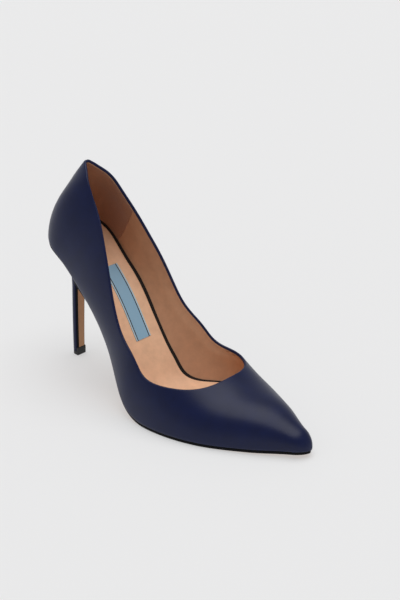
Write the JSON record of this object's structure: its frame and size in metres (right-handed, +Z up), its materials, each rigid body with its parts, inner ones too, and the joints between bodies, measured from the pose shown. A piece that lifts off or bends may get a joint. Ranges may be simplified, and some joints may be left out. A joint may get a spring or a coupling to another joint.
{
  "type": "stiletto heel pump",
  "caption": "Pointed-toe court shoe for the right foot with a slim high stiletto heel, padded sock and leather lining.",
  "frame": {"origin": "middle of the shoe's footprint box, on the floor", "axes": "+Z up, toe toward -Y, heel toward +Y, inner (medial) side of the right foot toward +X"},
  "size_m": [0.0782, 0.2216, 0.1447],
  "materials": {
    "navy_leather": "smooth satin calf leather",
    "lining_leather": "matte tan lining leather",
    "grip_suede": "flesh side out, matte brown",
    "sock_leather": "matte tan sock leather",
    "label_cloth": "pale blue woven label, plain stripes only",
    "webbing": "narrow woven tape",
    "stiffener_sheet": "thermoplastic stiffener sheet",
    "fibre_board": "pressed fibre insole board",
    "latex_foam": "soft dark foam",
    "cork_filler": "cork and resin sheet",
    "sole_leather": "polished tan sole leather, black edge",
    "heel_plastic": "moulded heel plastic",
    "top_piece_rubber": "hard black polyurethane",
    "steel": "plain bright steel"
  },
  "bodies": {
    "root": {"upper": "navy_leather", "heel_cover": "navy_leather", "vamp_lining": "lining_leather", "lateral_quarter_lining": "lining_leather", "medial_quarter_lining": "lining_leather", "heel_grip": "grip_suede", "sock_lining": "sock_leather", "sock_label": "label_cloth", "topline_tape": "webbing", "toe_puff": "stiffener_sheet", "heel_counter": "stiffener_sheet", "insole_board": "fibre_board", "sock_foam": "latex_foam", "bottom_filler": "cork_filler", "outsole": "sole_leather", "heel_core": "heel_plastic", "top_piece": "top_piece_rubber", "steel_shank": "steel", "shank_rivet_front": "steel", "shank_rivet_rear": "steel", "heel_pin_tube": "steel", "top_piece_pin": "steel", "heel_screw": "steel", "heel_nail_1": "steel", "heel_nail_2": "steel", "heel_nail_3": "steel", "heel_nail_4": "steel", "heel_nail_5": "steel"}
  },
  "joints": []
}
